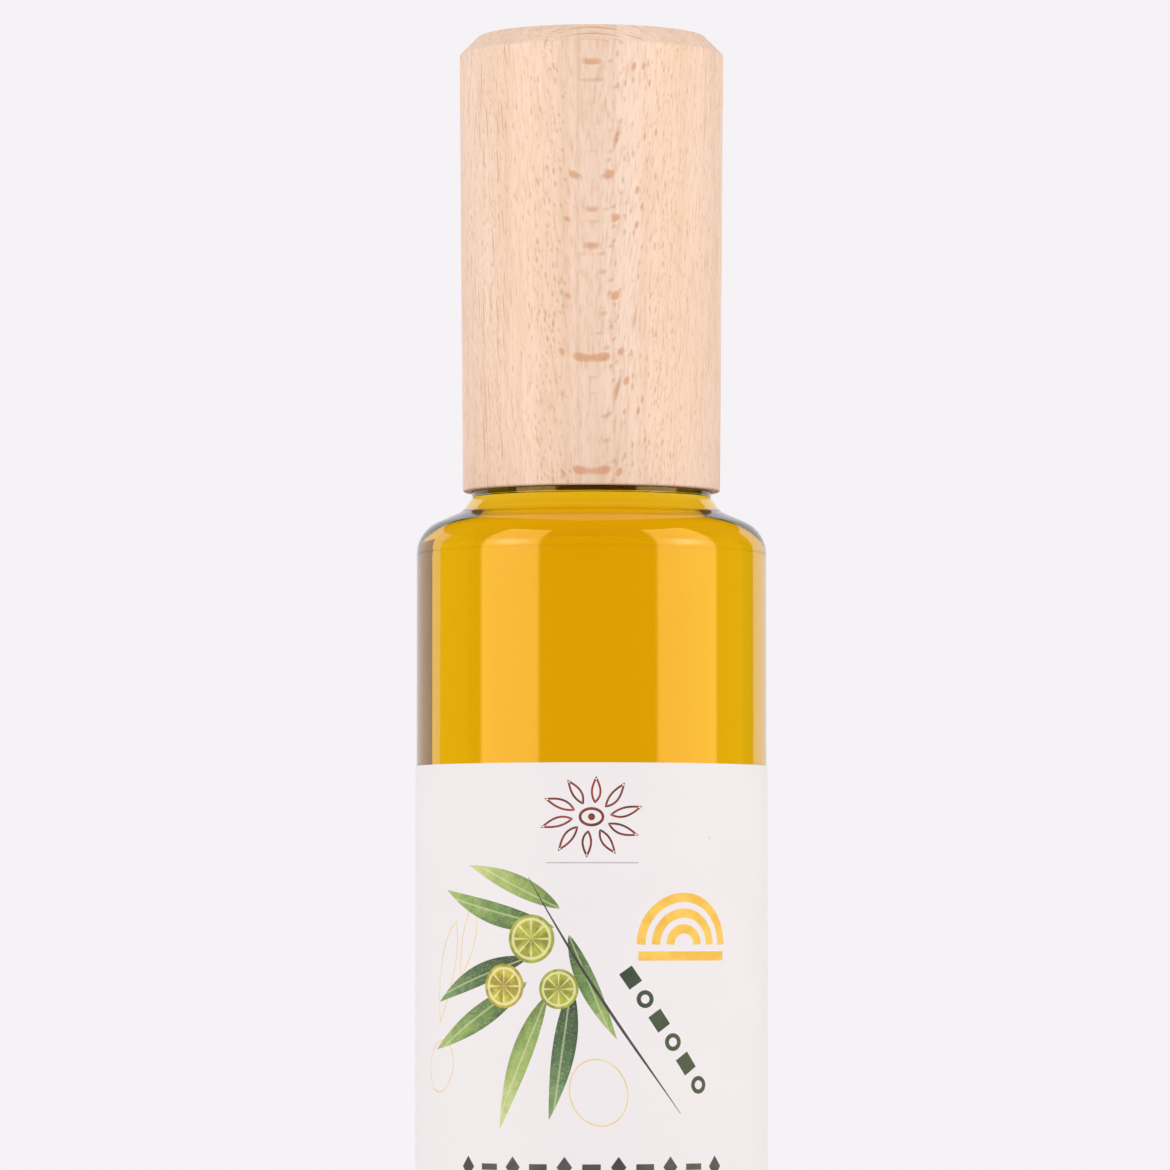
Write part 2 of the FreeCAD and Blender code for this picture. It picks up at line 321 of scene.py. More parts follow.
class Shading:
    """A material under construction: its node tree with short ways to add and join nodes."""

    def __init__(self, name):
        self.material = bpy.data.materials.new(name)
        self.material.use_nodes = True
        self.tree = self.material.node_tree
        self.surface = self.tree.nodes["Principled BSDF"]
        self.output = self.tree.nodes["Material Output"]

    def put(self, socket, value):
        """Sets a socket to a value or joins another socket to it."""
        if isinstance(value, bpy.types.NodeSocket):
            self.tree.links.new(value, socket)
        elif socket.type == "RGBA":
            socket.default_value = (*value[:3], 1.0)
        else:
            socket.default_value = value

    def finish(self, **values):
        """Sets inputs of the surface by name, with spaces written as underscores."""
        for name, value in values.items():
            self.put(self.surface.inputs[name.replace("_", " ")], value)
        return self.material

    def add(self, kind, inputs=None, **settings):
        """A new node with its inputs set or joined."""
        node = self.tree.nodes.new(kind)
        for name, value in settings.items():
            setattr(node, name, value)
        for name, value in (inputs or {}).items():
            self.put(node.inputs[name], value)
        return node

    def maths(self, operation, *values):
        """The outcome of one sum on numbers or sockets."""
        node = self.add("ShaderNodeMath", operation=operation)
        for number, value in enumerate(values):
            self.put(node.inputs[number], value)
        return node.outputs[0]

    def place(self, source, scale=(1, 1, 1), location=(0, 0, 0), rotation=(0, 0, 0)):
        """A vector moved, turned and then scaled."""
        inputs = {"Vector": source, "Location": location, "Rotation": rotation, "Scale": scale}
        return self.add("ShaderNodeMapping", inputs, vector_type="POINT").outputs[0]

    def noise(self, vector, scale, detail=2.0, roughness=0.5, distortion=0.0):
        """Cloudy noise from 0 to 1."""
        inputs = {"Vector": vector, "Scale": scale, "Detail": detail}
        inputs.update({"Roughness": roughness, "Distortion": distortion})
        return self.add("ShaderNodeTexNoise", inputs).outputs["Fac"]

    def cells(self, vector):
        """Cells about one unit wide, with their distances and random colours."""
        return self.add("ShaderNodeTexVoronoi", {"Vector": vector, "Scale": 1.0})

    def span(self, value, low, high, to_low=0.0, to_high=1.0):
        """A value from one range carried smoothly into another and held at its ends."""
        inputs = {"Value": value, "From Min": low, "From Max": high}
        inputs.update({"To Min": to_low, "To Max": to_high})
        return self.add("ShaderNodeMapRange", inputs, interpolation_type="SMOOTHSTEP").outputs[0]

    def mix(self, share, first, second):
        """Two colours mixed; a colour mix has its sockets after those of the other kinds."""
        node = self.add("ShaderNodeMix", data_type="RGBA", blend_type="MIX")
        self.put(node.inputs[0], share)
        self.put(node.inputs[6], first)
        self.put(node.inputs[7], second)
        return node.outputs[2]

    def bump(self, height, distance, strength=1.0):
        """A normal that follows a height."""
        inputs = {"Height": height, "Distance": distance, "Strength": strength}
        return self.add("ShaderNodeBump", inputs).outputs[0]


def srgb(red, green, blue):
    """Linear colour from three numbers between 0 and 255."""
    linear = []
    for value in (red, green, blue):
        share = value / 255
        linear.append(share / 12.92 if share <= 0.04045 else ((share + 0.055) / 1.055) ** 2.4)
    return tuple(linear)


def clear_glass(name, refraction):
    """Polished colourless glass."""
    shading = Shading(name)
    return shading.finish(
        Base_Color=(1.0, 1.0, 1.0), Roughness=0.0, IOR=refraction, Transmission_Weight=1.0
    )


def golden_oil(settings):
    """Clear liquid that colours light by the length of its way through.

    The wetted wall of the glass bends the light, so the oil's own skin, just inside it, doesn't.
    """
    shading = Shading("olive_oil")
    volume = shading.add("ShaderNodeVolumeAbsorption")
    shading.put(volume.inputs["Color"], tuple(settings.colour))
    shading.put(volume.inputs["Density"], settings.density)
    shading.tree.links.new(volume.outputs[0], shading.output.inputs["Volume"])
    return shading.finish(
        Base_Color=(1.0, 1.0, 1.0),
        Roughness=0.0,
        IOR=1.0,
        Transmission_Weight=1.0,
    )


# Beech: the darker strip in front, then layers of fibres (size of the pattern to the metre, where
# the ink starts and is full, its share, colour) and of rays (size, the spot's solid and outer
# rim, how many cells have one, share, colour, whether it is kept off the middle strip).
HEART_OFF = 0.5 * MM
HEART_HALF = 2.6 * MM
FIBRES = (
    ((2600, 7000, 170), 0.48, 0.7, 0.34, (202, 164, 130)),
    ((700, 1500, 36), 0.5, 0.72, 0.2, (212, 174, 142)),
    ((3600, 3600, 420), 0.5, 0.72, 0.26, (190, 150, 118)),
)
RAYS = (
    ((900, 2800, 460), 0.12, 0.34, 0.42, 0.4, (176, 132, 98), True),
    ((120, 5200, 760), 0.12, 0.4, 0.5, 0.42, (194, 146, 108), False),
    ((60, 3400, 110), 0.1, 0.36, 0.2, 0.62, (186, 122, 84), True),
    ((40, 3000, 480), 0.2, 0.44, 0.12, 0.68, (206, 140, 94), False),
)


def picked_cells(shading, vector, low, high, share):
    """Lens-shaped spots: some of the cells of a stretched pattern, soft at their rims."""
    cells = shading.cells(vector)
    spot = shading.span(cells.outputs["Distance"], low, high, 1.0, 0.0)
    chosen = shading.add("ShaderNodeSeparateColor", {"Color": cells.outputs["Color"]})
    return shading.maths("MULTIPLY", spot, shading.maths("LESS_THAN", chosen.outputs[0], share))


def beech():
    """Pale beech whose fibres lean a little to the front.

    Rays are flat spots, long along X and thin along Y: blocks in front, fine flecks at the sides.
    """
    shading = Shading("beech")
    straight = shading.add("ShaderNodeTexCoord").outputs["Object"]
    place = shading.place(straight, rotation=(GRAIN_LEAN, 0, 0))
    parts = shading.add("ShaderNodeSeparateXYZ", {"Vector": straight})
    drift = shading.noise(shading.place(place, (60, 60, 16)), 1.0, 3.0)
    wander = shading.maths("MULTIPLY", shading.maths("SUBTRACT", drift, 0.5), 0.003)
    across = shading.maths("ADD", shading.maths("ADD", parts.outputs[0], -HEART_OFF), wander)
    aside = shading.maths("ABSOLUTE", across)
    cloud = shading.noise(shading.place(place, (110, 110, 14)), 1.0, 4.0)
    colour = shading.mix(shading.span(cloud, 0.3, 0.7), srgb(234, 206, 181), srgb(242, 217, 196))
    bands = shading.noise(shading.place(place, (380, 60, 3)), 1.0, 2.0)
    band_share = shading.span(bands, 0.5, 0.72, 0.0, 0.25)
    colour = shading.mix(band_share, colour, srgb(216, 180, 148))
    heart = shading.span(aside, 0.0, HEART_HALF, 0.22, 0.0)
    colour = shading.mix(heart, colour, srgb(218, 184, 156))
    line = shading.maths("ABSOLUTE", shading.maths("SUBTRACT", aside, 0.0025))
    line = shading.span(line, 0.0, 0.0005, 0.22, 0.0)
    colour = shading.mix(line, colour, srgb(206, 164, 132))
    for scale, low, high, share, ink in FIBRES:
        fibre = shading.noise(shading.place(place, scale), 1.0, 3.0)
        colour = shading.mix(shading.span(fibre, low, high, 0.0, share), colour, srgb(*ink))
    beside = shading.span(shading.maths("ABSOLUTE", parts.outputs[0]), 0.0028, 0.0036)
    for scale, low, high, picked, share, ink, kept_beside in RAYS:
        ray = picked_cells(shading, shading.place(place, scale), low, high, picked)
        if kept_beside:
            ray = shading.maths("MULTIPLY", ray, beside)
        colour = shading.mix(shading.maths("MULTIPLY", ray, share), colour, srgb(*ink))
    relief = shading.bump(fibre, 0.00002, 0.5)
    return shading.finish(Base_Color=colour, Roughness=0.6, Normal=relief)


def print_place(shading, spot, angle, length, width):
    """Coordinates of one printed shape: X from 0 to 1 along it, Y from -1 to 1 across it."""
    flat = shading.add("ShaderNodeUVMap", uv_map="print").outputs[0]
    moved = shading.place(flat, location=(-spot[0], -spot[1], 0))
    turned_back = shading.place(moved, rotation=(0, 0, -angle))
    scaled = shading.place(turned_back, scale=(1 / length, 2 / width, 1))
    parts = shading.add("ShaderNodeSeparateXYZ", {"Vector": scaled})
    return flat, parts.outputs[0], parts.outputs[1]


def paper():
    """Matt white paper with faint flecks."""
    shading = Shading("paper")
    place = shading.add("ShaderNodeTexCoord").outputs["Object"]
    cloud = shading.noise(place, 90.0, 3.0)
    colour = shading.mix(cloud, srgb(228, 227, 228), srgb(234, 233, 234))
    spots = shading.cells(shading.place(place, (300, 300, 300)))
    picked = shading.add("ShaderNodeSeparateColor", {"Color": spots.outputs["Color"]})
    spot = shading.span(spots.outputs["Distance"], 0.03, 0.11, 1.0, 0.0)
    chosen = shading.maths("GREATER_THAN", picked.outputs[0], 0.9)
    spot = shading.maths("MULTIPLY", spot, chosen)
    tint = shading.mix(picked.outputs[1], srgb(226, 206, 160), srgb(188, 184, 190))
    colour = shading.mix(shading.maths("MULTIPLY", spot, 0.55), colour, tint)
    fibre = shading.noise(place, 2400.0, 3.0)
    relief = shading.bump(fibre, 0.00001, 0.3)
    return shading.finish(Base_Color=colour, Roughness=0.75, Normal=relief)


def wash(name, colours, spot, angle, length, width, rib=0.0):
    """Watery ink on paper: three colours along a shape, blotches and sometimes a pale rib."""
    shading = Shading(name)
    flat, along, across = print_place(shading, spot, angle, length, width)
    blot = shading.noise(flat, 0.55, 4.0, 0.6, 0.6)
    shift = shading.maths("MULTIPLY", shading.maths("SUBTRACT", blot, 0.5), 0.9)
    tone = shading.maths("ADD", along, shift)
    colour = shading.mix(shading.span(tone, 0.0, 0.55), colours[0], colours[1])
    colour = shading.mix(shading.span(tone, 0.45, 1.0), colour, colours[2])
    edge = shading.span(shading.maths("ABSOLUTE", across), 0.45, 1.0, 0.0, 0.35)
    colour = shading.mix(edge, colour, tuple(0.55 * part for part in colours[0]))
    if rib:
        line = shading.span(shading.maths("ABSOLUTE", across), 0.0, 0.12, rib, 0.0)
        colour = shading.mix(line, colour, srgb(222, 226, 176))
    grain = shading.noise(flat, 3.0, 3.0)
    pale = shading.span(grain, 0.5, 0.75, 0.0, 0.2)
    colour = shading.mix(pale, colour, srgb(236, 236, 222))
    return shading.finish(Base_Color=colour, Roughness=0.7)


def slice_wash(name, colours, spot, size, spokes):
    """Watery ink for a round slice: pale spokes, a pale ring inside a stronger rim."""
    shading = Shading(name)
    flat, along, across = print_place(shading, spot, 0.0, size, size)
    x = shading.maths("MULTIPLY", along, 2.0)
    out = shading.maths("ADD", shading.maths("POWER", x, 2.0), shading.maths("POWER", across, 2.0))
    out = shading.maths("SQRT", out)
    blot = shading.noise(flat, 0.5, 4.0, 0.6, 0.8)
    colour = shading.mix(shading.span(blot, 0.35, 0.65), colours[0], colours[1])
    turn = shading.maths("MULTIPLY", shading.maths("ARCTAN2", across, x), spokes)
    spoke = shading.span(shading.maths("COSINE", turn), 0.72, 0.96, 0.0, 0.7)
    spoke = shading.maths("MULTIPLY", spoke, shading.span(out, 0.7, 0.8, 1.0, 0.0))
    colour = shading.mix(spoke, colour, colours[2])
    ring = shading.maths("ABSOLUTE", shading.maths("SUBTRACT", out, 0.81))
    colour = shading.mix(shading.span(ring, 0.02, 0.09, 0.75, 0.0), colour, colours[2])
    colour = shading.mix(shading.span(out, 0.88, 1.0, 0.0, 0.5), colour, colours[0])
    return shading.finish(Base_Color=colour, Roughness=0.7)


def plain_ink(name, first, second):
    """Even ink with a slight change of tone."""
    shading = Shading(name)
    flat = shading.add("ShaderNodeUVMap", uv_map="print").outputs[0]
    tone = shading.span(shading.noise(flat, 0.35, 2.0), 0.35, 0.65)
    colour = shading.mix(tone, first, second)
    return shading.finish(Base_Color=colour, Roughness=0.6)


# ---------------------------------------------------------------- print


def ellipse(spot, width, height, angle=0.0, steps=48):
    """Closed outline of an ellipse, in millimetres."""
    loop = []
    for step in range(steps):
        turn = 2 * math.pi * step / steps
        x, y = width / 2 * math.cos(turn), height / 2 * math.sin(turn)
        loop.append(turned_point(spot, angle, x, y))
    return loop


def turned_point(spot, angle, x, y):
    """A point given along and across a direction, from a spot."""
    cosine, sine = math.cos(angle), math.sin(angle)
    return (spot[0] + x * cosine - y * sine, spot[1] + x * sine + y * cosine)


def blade(spot, angle, length, width, bend=0.0, steps=22):
    """Slender pointed shape that starts at spot and bends sideways towards its tip."""
    left, right = [], []
    for step in range(steps + 1):
        share = step / steps
        half = width / 2 * math.sin(math.pi * share**0.85) ** 0.9 if 0 < step < steps else 0.0
        middle = bend * length * share**2
        x = length * share
        left.append(turned_point(spot, angle, x, middle + half))
        right.append(turned_point(spot, angle, x, middle - half))
    return left + right[-2:0:-1]


def inset(loop, stroke):
    """The loop moved inwards by the width of a stroke."""
    moved = []
    count = len(loop)
    area = sum(
        loop[k][0] * loop[(k + 1) % count][1] - loop[(k + 1) % count][0] * loop[k][1]
        for k in range(count)
    )
    side = 1.0 if area > 0 else -1.0
    for k in range(count):
        before, here, after = (Vector(loop[(k + d) % count]) for d in (-1, 0, 1))
        one, two = (here - before).normalized(), (after - here).normalized()
        normal = Vector((-one.y - two.y, one.x + two.x)) * side
        if normal.length < 0.2:
            normal = -(one - two)
        normal.normalize()
        moved.append(tuple(here + normal * stroke))
    return moved


def outline_of(loop, stroke):
    """A thin line along a closed loop."""
    return [loop, inset(loop, stroke)]


def band(points, widths):
    """A closed outline round a path, with a width at each of its points."""
    left, right = [], []
    for number, (point, width) in enumerate(zip(points, widths)):
        before = Vector(points[max(number - 1, 0)])
        after = Vector(points[min(number + 1, len(points) - 1)])
        way = (after - before).normalized()
        side = Vector((-way.y, way.x)) * width / 2
        left.append(tuple(Vector(point) + side))
        right.append(tuple(Vector(point) - side))
    return left + right[::-1]


def arc_band(spot, radius, start, end, width, steps=26):
    """Part of a ring, from one angle to another."""
    points = []
    for step in range(steps + 1):
        turn = start + (end - start) * step / steps
        points.append((spot[0] + radius * math.cos(turn), spot[1] + radius * math.sin(turn)))
    return band(points, [width] * len(points))


def inside(point, loop):
    """Whether a point lies in a closed loop."""
    x, y = point
    found = False
    for number, (x1, y1) in enumerate(loop):
        x2, y2 = loop[number - 1]
        if (y1 > y) != (y2 > y) and x < (x2 - x1) * (y - y1) / (y2 - y1) + x1:
            found = not found
    return found


PETALS = 10
SLICE_SPOKES = 8
LINE_STEPS = 24


def label_print(top):
    """Printed shapes, lowest first: a material and the loops that bound it, in millimetres.

    X runs along the paper from its middle, Y up from its lower edge.
    """
    shapes = []

    def ink(material, *loops):
        shapes.append((material, loops))

    deg = math.radians
    brown = plain_ink("ink_brown", srgb(96, 34, 32), srgb(150, 52, 42))
    grey = plain_ink("ink_grey", srgb(176, 168, 176), srgb(190, 182, 188))
    dark = plain_ink("ink_dark", srgb(52, 54, 60), srgb(72, 74, 80))
    green = plain_ink("ink_green", srgb(32, 66, 54), srgb(40, 78, 62))
    gold = plain_ink("ink_gold", srgb(232, 184, 62), srgb(243, 200, 84))
    gilt = plain_ink("ink_gilt", srgb(226, 196, 120), srgb(236, 212, 150))

    rosette = (0.0, top - 7.6)
    for number in range(PETALS):
        angle = deg(360 / PETALS * number + 8)
        start = (rosette[0] + 2.6 * math.cos(angle), rosette[1] + 1.9 * math.sin(angle))
        reach = 3.6 + 1.2 * abs(math.cos(angle))
        petal = blade(start, angle, reach, 1.5, 0.12)
        ink(brown, *outline_of(petal, 0.3))
    ink(brown, *outline_of(ellipse(rosette, 3.6, 2.7), 0.4))
    ink(brown, ellipse(rosette, 1.0, 1.0, steps=20))
    ink(grey, band([(-6.4, top - 14.0), (6.6, top - 14.0)], [0.16, 0.16]))

    fresh = (srgb(96, 132, 62), srgb(150, 180, 98), srgb(196, 210, 142))
    leafy = (srgb(52, 92, 52), srgb(104, 146, 78), srgb(160, 186, 108))
    deep = (srgb(36, 70, 50), srgb(66, 110, 70), srgb(120, 156, 100))
    lime = (srgb(132, 140, 44), srgb(182, 190, 72), srgb(236, 236, 176))
    ripe = (srgb(150, 140, 40), srgb(200, 192, 70), srgb(242, 236, 178))
    for spot, angle, length, width, bend in (
        ((-21.5, top - 22.0), 252, 15.0, 3.4, 0.05),
        ((-18.0, top - 19.5), 262, 11.0, 2.6, -0.1),
    ):
        ink(gilt, *outline_of(blade(spot, deg(angle), length, width, bend), 0.16))
    ink(gilt, *outline_of(ellipse((1.0, top - 46.0), 8.2, 9.6, deg(20)), 0.18))
    ink(gilt, *outline_of(ellipse((-25.2, top - 42.5), 6.0, 7.6, deg(-20)), 0.16))
    blades = (
        ((-4.4, top - 20.4), 148, 15.5, 2.9, 0.16, fresh),
        ((-5.2, top - 23.0), 172, 19.0, 3.2, -0.14, leafy),
        ((-9.0, top - 27.2), 194, 17.5, 3.0, 0.12, deep),
        ((-9.2, top - 30.6), 216, 19.5, 3.4, -0.12, leafy),
        ((-6.2, top - 32.4), 242, 20.0, 3.1, 0.12, fresh),
        ((-2.8, top - 31.0), 266, 19.0, 3.3, -0.1, deep),
        ((-3.2, top - 24.0), 288, 16.0, 2.7, 0.12, leafy),
    )
    for number, (spot, angle, length, width, bend, colours) in enumerate(blades):
        name = f"wash_blade_{number + 1}"
        tilt = deg(angle) + math.atan(bend * 0.7)
        material = wash(name, colours, spot, tilt, length, width * 1.1, 0.5)
        ink(material, blade(spot, deg(angle), length, width, bend))
    slices = (
        ((-8.6, top - 24.6), 6.8, lime),
        ((-12.8, top - 31.2), 6.2, ripe),
        ((-4.6, top - 31.6), 5.6, lime),
    )
    for number, (spot, size, colours) in enumerate(slices):
        material = slice_wash(f"wash_slice_{number + 1}", colours, spot, size, SLICE_SPOKES)
        ink(material, ellipse(spot, size, size))

    line = []
    widths = []
    for step in range(LINE_STEPS + 1):
        share = step / LINE_STEPS
        sag = 1.4 * math.sin(math.pi * share)
        line.append((-9.0 + 22.0 * share, top - 16.0 - 33.0 * share - sag))
        widths.append(0.08 + 0.34 * math.sin(math.pi * share))
    ink(dark, band(line, widths))
    way = math.atan2(-15.0, 10.5)
    for number in range(6):
        spot = (5.5 + 2.1 * number, top - 30.0 - 3.0 * number)
        if number % 2:
            ink(green, *outline_of(ellipse(spot, 2.5, 2.5, steps=28), 0.62))
        else:
            corners = ((-1.3, -1.1), (1.3, -1.1), (1.3, 1.1), (-1.3, 1.1))
            ink(green, [turned_point(spot, way, x, y) for x, y in corners])

    sun = (13.6, top - 25.4)
    for radius in (2.2, 4.4, 6.6):
        ink(gold, arc_band(sun, radius, 0.0, math.pi, 1.3))
    ink(gold, band([(sun[0] - 7.0, sun[1] - 1.6), (sun[0] + 7.0, sun[1] - 1.6)], [1.3, 1.3]))

    row = top - 56.4
    for number in range(11):
        x = -19.0 + 3.8 * number
        if number % 2:
            ink(dark, band([(x - 1.3, row), (x + 1.3, row)], [0.9, 0.9]))
        else:
            diamond = ((x - 1.1, row), (x, row - 1.5), (x + 1.1, row), (x, row + 1.5))
            ink(dark, list(diamond))
    ink(gold, band([(-19.0, row - 4.2), (19.0, row - 4.2)], [0.35, 0.35]))
    for number in range(5):
        ink(green, ellipse((-8.0 + 4.0 * number, row - 9.0), 1.7, 1.7, steps=24))
    ink(gold, band([(-74.0, 4.0), (74.0, 4.0)], [0.9, 0.9]))
    return shapes


BAKED_HEIGHT = 0.72
POINT_MERGE = 1e-5


def wrapped_sheet(name, settings):
    """The label: a thin sheet round the body, its outside cut along the print's outlines."""
    low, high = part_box("label")
    outer = high.x
    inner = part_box("bottle")[1].x + settings.glue
    half_angle = math.pi - settings.gap / (outer * 2)
    half = outer * half_angle / MM
    height = (high.z - low.z) / MM
    shapes = label_print(height)
    columns = round(2 * half / (settings.column / MM))
    points, edges = [], []
    for number in range(columns + 1):
        x = -half + 2 * half * number / columns
        points += [(x, 0.0), (x, height)]
        edges.append((2 * number, 2 * number + 1))
        if number:
            edges += [(2 * number - 2, 2 * number), (2 * number - 1, 2 * number + 1)]
    boxes = []
    for material, loops in shapes:
        for loop in loops:
            first = len(points)
            points += loop
            edges += [(first + k, first + (k + 1) % len(loop)) for k in range(len(loop))]
        xs = [x for x, y in loops[0]]
        ys = [y for x, y in loops[0]]
        boxes.append((min(xs), max(xs), min(ys), max(ys)))
    flat = delaunay_2d_cdt([Vector(p) for p in points], edges, [], 0, POINT_MERGE)
    vertices, faces = flat[0], flat[2]
    materials = [paper()]
    slots = []
    for material, loops in shapes:
        if material not in materials:
            materials.append(material)
        slots.append(materials.index(material))
    mesh = bmesh.new()
    marks = mesh.loops.layers.uv.new("print")
    baked = mesh.loops.layers.uv.new("OFBake")

    def wrap(point, radius):
        angle = point[0] * MM / outer
        z = low.z + min(max(point[1], 0.0), height) * MM
        return (radius * math.sin(angle), -radius * math.cos(angle), z)

    outside = [mesh.verts.new(wrap(p, outer)) for p in vertices]
    for corners in faces:
        middle = sum((vertices[k] for k in corners), Vector((0.0, 0.0))) / len(corners)
        slot = 0
        for number in range(len(shapes) - 1, -1, -1):
            x1, x2, y1, y2 = boxes[number]
            if not (x1 <= middle.x <= x2 and y1 <= middle.y <= y2):
                continue
            if sum(inside(middle, loop) for loop in shapes[number][1]) % 2:
                slot = slots[number]
                break
        face = mesh.faces.new([outside[k] for k in corners])
        face.material_index = slot
        face.smooth = True
        for corner, k in zip(face.loops, corners):
            corner[marks].uv = vertices[k]
            share = (vertices[k].x / (2 * half) + 0.5, vertices[k].y / height * BAKED_HEIGHT)
            corner[baked].uv = share
    rim = [edge for edge in mesh.edges if edge.is_boundary]
    around = {}
    for edge in rim:
        for vertex, other in (edge.verts, reversed(edge.verts)):
            around.setdefault(vertex, []).append(other)
    start = rim[0].verts[0]
    loop = [start]
    while True:
        nearby = [v for v in around[loop[-1]] if len(loop) < 2 or v is not loop[-2]]
        if nearby[0] is start:
            break
        loop.append(nearby[0])
    shrink = inner / outer
    within = [mesh.verts.new((v.co.x * shrink, v.co.y * shrink, v.co.z)) for v in loop]
    for k in range(len(loop)):
        following = (k + 1) % len(loop)
        mesh.faces.new([loop[k], loop[following], within[following], within[k]])
    low_side = sorted((v for v in within if v.co.z < low.z + MM / 1000), key=angle_of)
    high_side = sorted((v for v in within if v.co.z > high.z - MM / 1000), key=angle_of)
    pairs = list(zip(low_side, high_side))
    for (a, b), (c, d) in zip(pairs, pairs[1:]):
        mesh.faces.new([a, c, d, b]).smooth = True
    made = finished(name, mesh)
    for material in materials:
        made.data.materials.append(material)
    return made


def angle_of(vertex):
    """Angle of a vertex about the axis, zero at the front."""
    return math.atan2(vertex.co.x, -vertex.co.y)


# ---------------------------------------------------------------- operators


class OILBOTTLE_OT_bottle(bpy.types.Operator):
    """Builds the glass bottle"""

    bl_idname = "oilbottle.bottle"
    bl_label = "Glass Bottle"
    bl_options = {"REGISTER", "UNDO"}

    def execute(self, context):
        glass = context.scene.oil_bottle_glass
        form = GlassForm(context.scene)
        floor = dome(form.inside, form.floor_edge, form.floor_top, 0.7)
        corners = dome(glass.push_up_radius, form.foot, form.foot + glass.push_up_height, 0.93)
        corners += [
            (glass.push_up_radius, form.foot, glass.ring_round),
            (form.radius, form.foot, glass.heel_round),
            (form.radius, glass.shoulder_height, glass.shoulder_round),
            (glass.neck_foot_radius, form.neck_foot, glass.neck_foot_round),
            (glass.collar_radius, form.neck_foot + glass.neck_rise, glass.collar_foot_round),
            (glass.collar_radius, form.collar_top, glass.collar_edge_round),
            (form.finish, form.collar_top, 0.0),
            (form.finish, form.mouth, glass.lip_round),
            (glass.bore_radius, form.mouth, glass.lip_round),
            (glass.bore_radius, form.level, 0.0),
            (glass.bore_radius, form.inner_neck, glass.inner_neck_round),
            (form.inside, form.inner_shoulder, glass.inner_shoulder_round),
            (form.inside, form.floor_edge, glass.inner_heel_round),
        ]
        corners += floor[::-1]
        outline = rounded(corners)
        wetted_from = outline.index((glass.bore_radius, form.level))
        slots = [int(number >= wetted_from) for number in range(len(outline))]
        made = turned("glass_bottle", outline, glass.segments, slots)
        step = glass.refraction / context.scene.oil_bottle_oil.refraction
        made.data.materials.append(clear_glass("clear_glass", glass.refraction))
        made.data.materials.append(clear_glass("wetted_glass", step))
        keep(made, "bottle", "clear_glass")
        return {"FINISHED"}


class OILBOTTLE_OT_oil(bpy.types.Operator):
    """Builds the oil in the bottle"""

    bl_idname = "oilbottle.oil"
    bl_label = "Oil"
    bl_options = {"REGISTER", "UNDO"}

    def execute(self, context):
        glass = context.scene.oil_bottle_glass
        oil = context.scene.oil_bottle_oil
        form = GlassForm(context.scene)
        reach = oil.overlap
        corners = dome(form.inside, form.floor_edge - reach, form.floor_top - reach, 0.7)
        corners += [
            (form.inside + reach, form.floor_edge - reach, glass.inner_heel_round),
            (form.inside + reach, form.inner_shoulder + reach, glass.inner_shoulder_round),
            (glass.bore_radius + reach, form.inner_neck + reach, glass.inner_neck_round),
            (glass.bore_radius + reach, form.level, 0.0),
            (0.0, form.level, 0.0),
        ]
        made = turned("olive_oil", rounded(corners), glass.segments)
        made.data.materials.append(golden_oil(oil))
        keep(made, "oil", "olive_oil")
        return {"FINISHED"}


class OILBOTTLE_OT_cap(bpy.types.Operator):
    """Builds the turned wooden cap"""

    bl_idname = "oilbottle.cap"
    bl_label = "Wooden Cap"
    bl_options = {"REGISTER", "UNDO"}

    def execute(self, context):
        glass = context.scene.oil_bottle_glass
        cap = context.scene.oil_bottle_cap
        form = GlassForm(context.scene)
        low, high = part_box("wooden_cap")
        bore = form.finish + cap.clearance
        bore_end = form.mouth + cap.head_room
        seat = form.collar_top + cap.seat_gap
        rebate = glass.collar_radius + cap.clearance
        corners = [
            (rebate, seat, 0.0),
            (rebate, low.z, 0.0),
            (cap.foot_radius, low.z, cap.foot_round),
            (high.x, high.z - cap.bevel, cap.bevel_round),
            (high.x - cap.bevel, high.z, cap.bevel_round),
            (0.0, high.z, 0.0),
            (0.0, bore_end, 0.0),
            (bore, bore_end, 0.0),
            (bore, seat, 0.0),
        ]
        made = turned("cap_of_wood", rounded(corners), cap.segments)
        made.data.materials.append(beech())
        keep(made, "wooden_cap", "beech")
        return {"FINISHED"}


class OILBOTTLE_OT_label(bpy.types.Operator):
    """Builds the printed label"""

    bl_idname = "oilbottle.label"
    bl_label = "Label"
    bl_options = {"REGISTER", "UNDO"}

    def execute(self, context):
        made = wrapped_sheet("paper_label", context.scene.oil_bottle_label)
        keep(made, "label", "paper")
        return {"FINISHED"}


class OILBOTTLE_OT_stage(bpy.types.Operator):
    """Builds the floor, the lights, the cards round the bottle and the camera"""

    bl_idname = "oilbottle.stage"
    bl_label = "Stage"
    bl_options = {"REGISTER", "UNDO"}

    def execute(self, context):
        settings = context.scene.oil_bottle_stage
        surroundings(context.scene, settings)
        floor(settings.floor_radius)
        key_light("soft_key_left", -KEY_AZIMUTH, settings.key_power)
        key_light("soft_key_right", KEY_AZIMUTH, settings.key_power)
        glows = {
            "dark": glow("card_dark", (0.1, 0.05, 0.0)),
            "warm": glow("card_warm", (0.6, 0.4, 0.0)),
            "dim": glow("card_dim", (0.2, 0.18, 0.17)),
            "lit": soft_box_glow(),
        }
        for name, first, last, bottom, top, distance, tone, kind in CARDS:
            card(name, first, last, bottom, top, distance, glows[tone], kind)
        camera(context.scene, settings)
        return {"FINISHED"}


# ---------------------------------------------------------------- stage

LENS = 229.23
SENSOR = 36.0
CAMERA_PAN = math.radians(0.05)
CAMERA_TILT = math.radians(2.697)
AIM = Vector((0.0, 0.0, 0.16))
KEY_AZIMUTH = 62
KEY_ELEVATION = 25
KEY_DISTANCE = 1.5
KEY_SIZE = 1.2
CARD_STEPS_ACROSS = 24
CARD_STEPS_UP = 12

